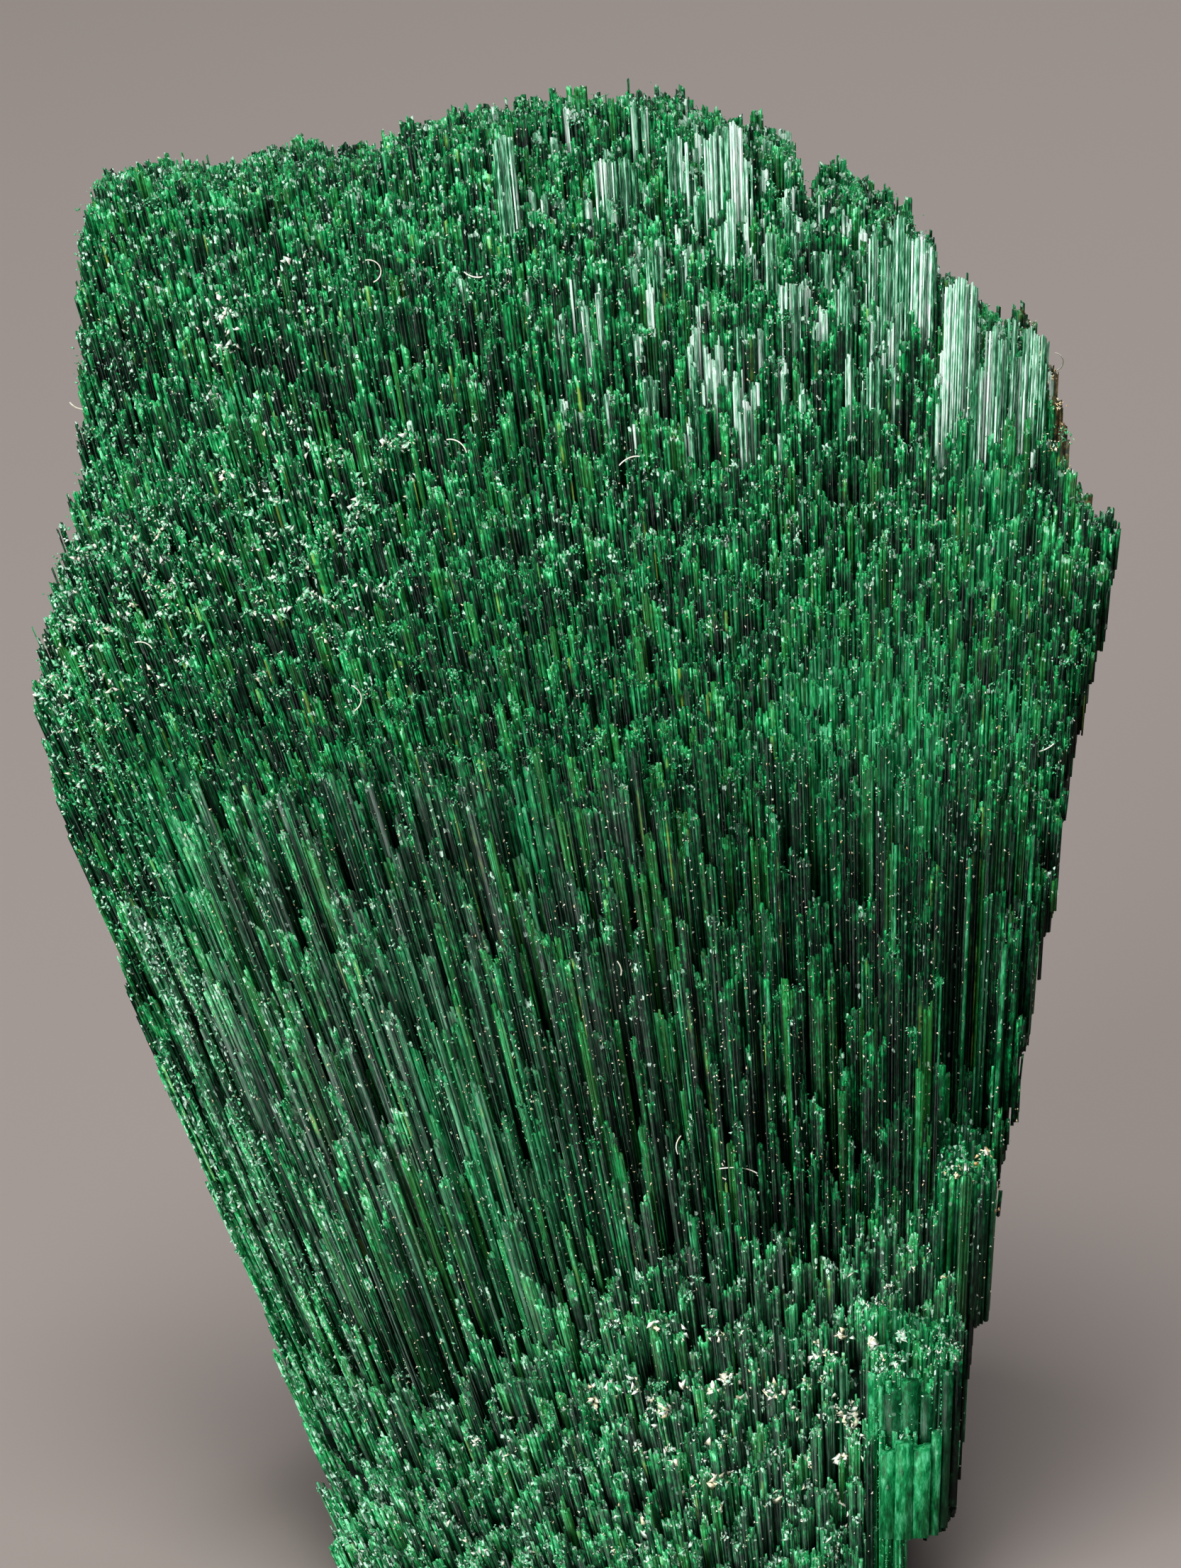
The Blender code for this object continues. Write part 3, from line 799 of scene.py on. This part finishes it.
def silver_slabs(chance):
    """The flat slabs on the right of the upper tier with a painted silver sheen, each a sheaf of strands in two
    rows.
    """
    rows = []
    for u, v, top, width in SLABS:
        strands = max(4, round(width / STRAND_STEP))
        tilt = chance.uniform(-0.5, 0.5)
        notch, streak = 0.0, 0.5
        for strand in range(strands):
            across = (strand + 0.5) / strands - 0.5
            if strand % 4 == 0:
                notch = 0.35 * chance.random() + 0.8 * (chance.random() < 0.15)
                streak = chance.random()
            for row in (0, 1):
                end = top + tilt * across - notch - 0.5 * abs(across) - 0.12 * chance.random()
                end -= row * 0.1 + 2.2 * chance.random() * (chance.random() < 0.12)
                rows.append((
                    u + width * across + chance.uniform(-0.02, 0.02) + 0.5 * row * STRAND_STEP,
                    v + 0.09 * row + chance.uniform(-0.02, 0.02), end,
                    STRAND_STEP * chance.uniform(1.1, 1.7), 0.5 * streak + 0.5 * chance.random(),
                    1.0 if chance.random() < 0.8 else 0.35))
    u, v, top, width, own, silk = np.array(rows).T
    needles = {"u": u, "v": v, "top": top, "width": width, "root": top_height(u, v - 0.6) - 3.0,
               "own": own, "shared": 0.5 * chance.random(len(u)), "silk": silk}
    for name in ("drift_x", "drift_y", "rind", "glow", "dull"):
        needles[name] = np.zeros(len(u))
    needles["flat"] = needles["fade"] = np.ones(len(u))
    return needles


def facet_kinds():
    """Flat-fronted crystals one width across, snapped off level or on a slant."""
    kinds = []
    for seed, slant in enumerate((0.1, -0.25)):
        start_alone()
        bpy.ops.mesh.primitive_cube_add(size=1.0, location=(0, 0, SHAFT))
        facet = bpy.context.object
        bpy.ops.object.mode_set(mode="EDIT")
        bpy.ops.transform.resize(value=(1.0, 0.5, 2 * SHAFT))
        bpy.ops.transform.vertex_random(offset=0.05, seed=seed + 51)
        bpy.ops.mesh.bisect(
            plane_co=(0, 0, SHAFT), plane_no=(slant, -0.2, 1.0), use_fill=True, clear_outer=True)
        bpy.ops.object.mode_set(mode="OBJECT")
        kinds.append(read_shape(facet))
    return kinds


def block_facets(chance):
    """The flat faces on the front of the broken block with a painted glow, and its standing wall with less of
    it.
    """
    u, v, top, width, glow = np.array(FACETS).T
    facets = {"u": u, "v": v, "top": top, "width": width, "glow": glow, "own": 0.7 * glow,
              "root": line(BLOCK_UNDERSIDE, u), "shared": 0.5 * chance.random(len(u))}
    for name in ("drift_x", "drift_y", "rind", "silk", "dull"):
        facets[name] = np.zeros(len(u))
    facets["flat"] = facets["fade"] = np.ones(len(u))
    return facets


# Each flat face's place, the height of its top, its width and how much painted glow it has
FACETS = (
    (10.45, -10.5, 8.5, 0.5, 0.7), (10.95, -10.55, 8.9, 0.6, 0.8), (11.5, -10.5, 8.7, 0.6, 0.75),
    (11.95, -10.4, 9.3, 0.35, 0.6), (10.6, -9.75, 10.5, 0.6, 0.2), (11.15, -9.7, 10.9, 0.6, 0.25),
    (11.7, -9.8, 10.4, 0.5, 0.15), (12.25, -10.3, 11.6, 0.35, 0.1), (12.55, -10.1, 11.9, 0.3, 0.0),
)

STRAND_STEP = 0.07

# Each slab's place, the height of its tip and its width
SLABS = (
    (1.6, 4.2, 51.2, 0.5), (3.8, 4.6, 50.5, 0.4), (4.3, 4.6, 50.3, 0.5), (5.5, 4.7, 51.1, 0.5),
    (6.4, 4.5, 51.2, 0.5), (6.9, 4.5, 51.6, 0.8), (6.6, 3.8, 49.2, 0.5), (7.3, 2.8, 45.2, 0.3),
    (7.8, 3.5, 48.2, 0.3), (8.4, 3.0, 46.6, 0.5), (9.7, 3.0, 46.5, 0.5), (10.3, 3.4, 48.1, 0.3),
    (10.95, 3.1, 48.7, 0.8), (11.6, 3.1, 47.9, 0.65), (10.5, 2.4, 43.9, 0.35), (12.6, 2.4, 46.7, 0.9),
    (13.7, 2.3, 45.4, 0.8), (14.55, 2.5, 45.0, 1.0), (5.0, 3.4, 47.6, 0.3), (13.1, 2.2, 43.6, 0.3),
)


# Dust, chips and lint on the needles

SIDES = (((0.0, -1.0), 0.6), ((-1.0, 0.0), 0.16), ((1.0, 0.0), 0.12), ((0.0, 1.0), 0.12))


def grain_kinds(sides):
    """Crumbs with a few faces, no two kinds alike: a pyramid knocked out of shape."""
    kinds = []
    for seed in range(5):
        start_alone()
        bpy.ops.mesh.primitive_cone_add(
            vertices=sides, radius1=0.55, radius2=0.0, depth=0.8, end_fill_type="NGON")
        grain = bpy.context.object
        bpy.ops.object.mode_set(mode="EDIT")
        bpy.ops.transform.resize(value=(1.5, 0.6 + 0.06 * seed, 0.45 + 0.08 * seed))
        bpy.ops.transform.vertex_random(offset=0.16, seed=seed + 31)
        bpy.ops.object.mode_set(mode="OBJECT")
        kinds.append(read_shape(grain))
    return kinds


def random_turns(count, chance):
    """A rotation matrix for each of many grains."""
    w, x, y, z = chance.normal(size=(4, count))
    length = np.sqrt(w * w + x * x + y * y + z * z)
    w, x, y, z = w / length, x / length, y / length, z / length
    rows = (
        (1 - 2 * (y * y + z * z), 2 * (x * y - z * w), 2 * (x * z + y * w)),
        (2 * (x * y + z * w), 1 - 2 * (x * x + z * z), 2 * (y * z - x * w)),
        (2 * (x * z - y * w), 2 * (y * z + x * w), 1 - 2 * (x * x + y * y)),
    )
    return np.moveaxis(np.array(rows), -1, 0)


def scatter(name, kinds, centres, sizes, tints, material, chance):
    """One mesh of grains, each turned its own way. Centres in metres, sizes in millimetres."""
    kind_of = chance.integers(0, len(kinds), len(centres))
    turns = random_turns(len(centres), chance)
    parts = []
    for kind, grain in enumerate(kinds):
        chosen = np.nonzero(kind_of == kind)[0]
        shape = np.einsum("nij,kj->nki", turns[chosen], grain["places"])
        places = centres[chosen, None, :] + shape * (sizes[chosen] * MM)[:, None, None]
        tint = np.repeat(tints[chosen, None], shape.shape[1], axis=1)
        parts.append({
            "places": places.reshape(-1, 3),
            "tint": np.stack((tint, tint, tint), axis=-1).reshape(-1, 3),
            "corners": grain["corners"], "sizes": grain["sizes"],
            "count": len(chosen), "per": shape.shape[1],
        })
    return join_parts(name, parts, material)


def bare_sides(needles, count, chance):
    """Places spread over the bare sides of the needles, a hair's breadth off them."""
    found = []
    for (side_u, side_v), share in SIDES:
        beside_u = needles["u"] + 0.4 * side_u
        beside_v = needles["v"] + 0.4 * side_v
        foot = np.where(on_foot(beside_u, beside_v), top_height(beside_u, beside_v), needles["root"])
        bare = np.clip(needles["top"] - np.maximum(foot, needles["root"]), 0.05, None)
        chosen = chance.choice(len(bare), size=int(count * share), p=bare / bare.sum())
        height = needles["top"][chosen] - bare[chosen] * chance.random(len(chosen))
        out = 0.5 * needles["width"][chosen]
        places = in_space(needles["u"][chosen], needles["v"][chosen], height)
        places[:, 0] += side_u * out * MM
        places[:, 1] += side_v * out * MM
        found.append(places)
    return np.concatenate(found)


def on_tips(needles, chosen, chance):
    """Places in crumbled heaps on the tips of the chosen needles, up to a dozen chips to a heap."""
    heaps = max(1, len(chosen) // 5)
    heap_of = (heaps * chance.random(len(chosen)) ** 1.5).astype(int)
    chosen = chosen[:heaps][heap_of]
    u = needles["u"][chosen] + chance.normal(0.0, 0.09, len(chosen))
    v = needles["v"][chosen] + chance.normal(-0.05, 0.06, len(chosen))
    return in_space(u, v, needles["top"][chosen] + chance.normal(-0.08, 0.11, len(chosen)))


# Where crushed chips lie thick, the white ones on the low ledge and the block painted glints: u from and to, v
# from and to, how many, their sizes and tints
CHIP_FIELDS = (
    ((1.6, 10.6), (-9.6, -6.4), 560, (0.16, 0.4), (0.64, 0.9)),
    ((-3.0, 10.6), (-11.6, -5.6), 260, (0.1, 0.24), (0.5, 0.95)),
    ((9.9, 11.2), (-9.4, -8.0), 60, (0.15, 0.4), (0.5, 0.75)),
    ((12.2, 13.9), (-6.0, -5.0), 60, (0.12, 0.3), (0.6, 1.0)),
    ((10.0, 12.6), (-10.3, -8.3), 400, (0.06, 0.2), (0.1, 0.85)),
    ((-7.5, 11.0), (-12.5, -5.5), 2200, (0.06, 0.22), (0.25, 0.8)),
    ((-7.3, 1.5), (0.0, 2.3), 2200, (0.08, 0.27), (0.15, 0.85)),
    ((-7.3, 16.0), (-1.6, 7.8), 12000, (0.06, 0.14), (0.05, 0.45)),
    ((-3.6, -1.9), (2.9, 3.6), 160, (0.1, 0.3), (0.45, 0.8)),
    ((-3.9, -3.4), (-1.4, -0.8), 28, (0.08, 0.2), (0.1, 0.5)),
    ((4.5, 5.0), (-1.7, -1.2), 24, (0.08, 0.2), (0.1, 0.6)),
    ((9.5, 12.7), (-9.0, -5.5), 130, (0.08, 0.2), (0.3, 0.95)),
    ((-7.5, 16.0), (-12.5, 11.0), 6000, (0.06, 0.15), (0.0, 0.45)),
    ((-7.6, 14.5), (-5.0, -1.6), 2000, (0.05, 0.15), (0.1, 0.6)),
    ((15.0, 15.9), (2.2, 8.5), 500, (0.06, 0.16), (0.8, 1.0)),
)


def scatter_chips(needles, chance):
    centres, sizes, tints = [], [], []
    for (u0, u1), (v0, v1), count, size, tint in CHIP_FIELDS:
        inside = (u0 < needles["u"]) & (needles["u"] < u1) & (v0 < needles["v"]) & (needles["v"] < v1)
        chosen = chance.choice(np.nonzero(inside)[0], count)
        centres.append(on_tips(needles, chosen, chance))
        sizes.append(size[0] + (size[1] - size[0]) * chance.random(count) ** 2)
        tints.append(chance.uniform(*tint, count))
    for (u0, u1), (v0, v1), count, size, tint in CRUMBLED_SIDES:
        inside = (u0 < needles["u"]) & (needles["u"] < u1) & (v0 < needles["v"]) & (needles["v"] < v1)
        crumbled = {name: values[inside] for name, values in needles.items()}
        centres.append(bare_sides(crumbled, count, chance))
        sizes.append(chance.uniform(*size, len(centres[-1])))
        tints.append(chance.uniform(*tint, len(centres[-1])))
    scatter("crushed_chips", grain_kinds(3), np.concatenate(centres), np.concatenate(sizes),
            np.concatenate(tints), chips_and_painted_glints(), chance)
    dust = bare_sides(needles, DUST_GRAINS, chance)
    scatter("dust", grain_kinds(3), dust, 0.055 + 0.06 * chance.random(len(dust)) ** 2,
            chance.random(len(dust)), settled_dust(), chance)


# Where crumbs cling to the needles' sides, in the same order as above
CRUMBLED_SIDES = (
    ((10.0, 12.6), (-10.4, -9.3), 1500, (0.05, 0.14), (0.0, 0.36)),
    ((-8.0, -5.6), (-9.0, 5.0), 7500, (0.07, 0.2), (0.2, 0.65)),
    ((-6.5, 3.0), (-5.0, -1.6), 4000, (0.06, 0.16), (0.1, 0.6)),
    ((-6.0, 14.5), (-5.0, -1.6), 5600, (0.05, 0.1), (0.68, 0.96)),
)
DUST_GRAINS = 24000

# Lint: the place it lies at, its height, its length in mm, its heading and its bend in degrees
HAIRS = (
    (-1.4, 3.6, 46.1, 1.3, 30.0, 170.0), (0.8, 3.5, 46.5, 0.7, -40.0, 60.0),
    (-6.7, 4.8, 41.2, 0.9, 200.0, -80.0), (2.3, 2.0, 41.0, 0.9, 10.0, -90.0),
    (0.3, -0.8, 32.2, 1.2, 40.0, 120.0), (4.5, -3.3, 23.4, 0.6, 80.0, 50.0),
    (5.2, -4.3, 17.0, 0.8, 110.0, -60.0), (7.0, -4.4, 16.3, 1.4, 150.0, 40.0),
    (8.0, -3.5, 21.0, 0.8, 70.0, -50.0), (15.6, 4.6, 42.6, 1.2, -10.0, 190.0),
    (14.9, -0.6, 30.4, 0.9, 110.0, -30.0), (14.9, -0.6, 30.6, 0.6, 20.0, 30.0),
    (5.6, 2.0, 40.4, 0.8, 175.0, 60.0), (-3.9, 0.4, 34.0, 0.7, 120.0, 80.0),
    (6.0, 9.2, 42.0, 1.0, 30.0, 120.0), (-3.0, 10.0, 28.0, 1.1, 80.0, -110.0),
)


def lay_hairs():
    """Lint hairs, each one an even bend that stands a little off the needles."""
    pieces = []
    for u, v, height, length, heading, bend in HAIRS:
        curve = bpy.data.curves.new("hair", "CURVE")
        curve.dimensions = "3D"
        curve.bevel_depth = 0.024 * MM
        curve.bevel_resolution = 0
        curve.use_fill_caps = True
        spline = curve.splines.new("POLY")
        steps = 12
        spline.points.add(steps)
        place = Vector(in_space(u, v, height)) + Vector((0.0, -0.2 if v < 7.0 else 0.2, 0.0)) * MM
        for step in range(steps + 1):
            spline.points[step].co = (*place, 1.0)
            turn = math.radians(heading + bend * step / steps)
            outward = 0.25 * math.sin(math.pi * step / steps)
            place = place + Vector((math.cos(turn), -outward, math.sin(turn))) * (length / steps * MM)
        hair = bpy.data.objects.new("hair", curve)
        bpy.context.scene.collection.objects.link(hair)
        pieces.append(hair)
    start_alone()
    for hair in pieces:
        hair.select_set(True)
    bpy.context.view_layer.objects.active = pieces[0]
    bpy.ops.object.convert(target="MESH")
    bpy.ops.object.join()
    lint = bpy.context.object
    lint.name = "lint_hairs"
    lint.data.materials.clear()
    lint.data.materials.append(pale_lint())
    dress(lint)
    return lint


def splinters_on(needles, share, chance):
    """Thin slivers beside some of the needles, a little longer or shorter than they are."""
    count = len(needles["u"])
    chosen = chance.random(count) < share
    slivers = {name: values[chosen].copy() for name, values in needles.items()}
    count = len(slivers["u"])
    slivers["u"] += chance.uniform(-0.1, 0.1, count)
    slivers["v"] += chance.uniform(-0.1, 0.1, count)
    slivers["top"] += chance.normal(0.05, 0.14, count)
    slivers["width"] = chance.uniform(0.07, 0.13, count)
    slivers["own"] = chance.random(count)
    return slivers


def solid_core():
    """The ground behind the needles, its sides and top painted near black as shade: the same fan, a little
    lower all over.
    """
    start_alone()
    step = 0.55
    across, deep = 27.0, 25.0
    bpy.ops.mesh.primitive_grid_add(
        x_subdivisions=int(across / step), y_subdivisions=int(deep / step), size=1.0,
        location=(4.6, -0.3, 0.0))
    core = bpy.context.object
    core.name = "needle_ground"
    core.scale = (across, deep, 1.0)
    bpy.ops.object.transform_apply(location=True, rotation=False, scale=True)
    mesh = core.data
    bpy.ops.object.mode_set(mode="EDIT")
    bpy.ops.mesh.select_all(action="DESELECT")
    bpy.ops.mesh.select_mode(type="FACE")
    bpy.ops.object.mode_set(mode="OBJECT")
    u, v = np.array([vertex.co[:2] for vertex in mesh.vertices]).T
    outer_u = FOOT_CENTRE[0] + (u - FOOT_CENTRE[0]) * CORE_INSET
    outer_v = FOOT_CENTRE[1] + (v - FOOT_CENTRE[1]) * CORE_INSET
    thick = core_top(u, v) - core_bottom(u, v, step)
    outside = ~on_foot(outer_u, outer_v) | (thick < THINNEST_CORE)
    mesh.polygons.foreach_set("select", [bool(outside[list(face.vertices)].any()) for face in mesh.polygons])
    bpy.ops.object.mode_set(mode="EDIT")
    bpy.ops.mesh.delete(type="FACE")
    bpy.ops.mesh.select_all(action="SELECT")
    bpy.ops.mesh.extrude_region_move(TRANSFORM_OT_translate={"value": (0.0, 0.0, 1.0)})
    bpy.ops.mesh.select_all(action="SELECT")
    bpy.ops.mesh.normals_make_consistent(inside=False)
    bpy.ops.object.mode_set(mode="OBJECT")
    places = np.empty(len(mesh.vertices) * 3)
    mesh.vertices.foreach_get("co", places)
    places = places.reshape(-1, 3)
    u, v, upper = places[:, 0], places[:, 1], places[:, 2] > 0.5
    height = np.where(upper, core_top(u, v), core_bottom(u, v, step))
    mesh.vertices.foreach_set("co", in_space(u, v, height).ravel())
    mesh.update()
    mesh.materials.append(malachite_in_painted_shade())
    mesh.materials.append(cut_malachite())
    for face in mesh.polygons:
        face.material_index = int(face.normal.z < -0.9 and face.center.z < 0.2 * MM)
    dress(core)
    return core


def core_top(u, v):
    return np.minimum(lowest_near(u, v, 0.7), top_height(u, v - 0.7)) - 0.8


def core_bottom(u, v, step):
    """Just above the needles' own undersides, also those of the next step to the right."""
    return np.maximum(underside_height(u, v), underside_height(u + step, v)) + 0.05


THINNEST_CORE = 0.8
CORE_INSET = 1.04  # how far the core stays inside the outermost needles, as a share


def grow_all():
    """Every needle of the piece, stretch by stretch, then what lies on them."""
    green = malachite_with_painted_light()
    kinds = crystal_kinds()
    slivers = splinter_kinds()
    grown = []
    for number, stretch in enumerate(STRETCHES):
        chance = np.random.default_rng(SEED + number)
        needles = grow(stretch, chance)
        join_copies(stretch + "_needles", kinds, needles, green, chance)
        share = 0.32 if stretch == "bare_face" else 0.2
        join_copies(stretch + "_slivers", slivers, splinters_on(needles, share, chance), green, chance)
        grown.append(needles)
    chance = np.random.default_rng(SEED + len(STRETCHES))
    join_copies("silver_slabs", kinds, silver_slabs(chance), green, chance)
    join_copies("block_facets", facet_kinds(), block_facets(chance), green, chance, turned=0.08)
    grown = {name: np.concatenate([needles[name] for needles in grown]) for name in grown[0]}
    scatter_chips(grown, chance)
    lay_hairs()


camera = place_camera()
set_stage()
solid_core()
grow_all()
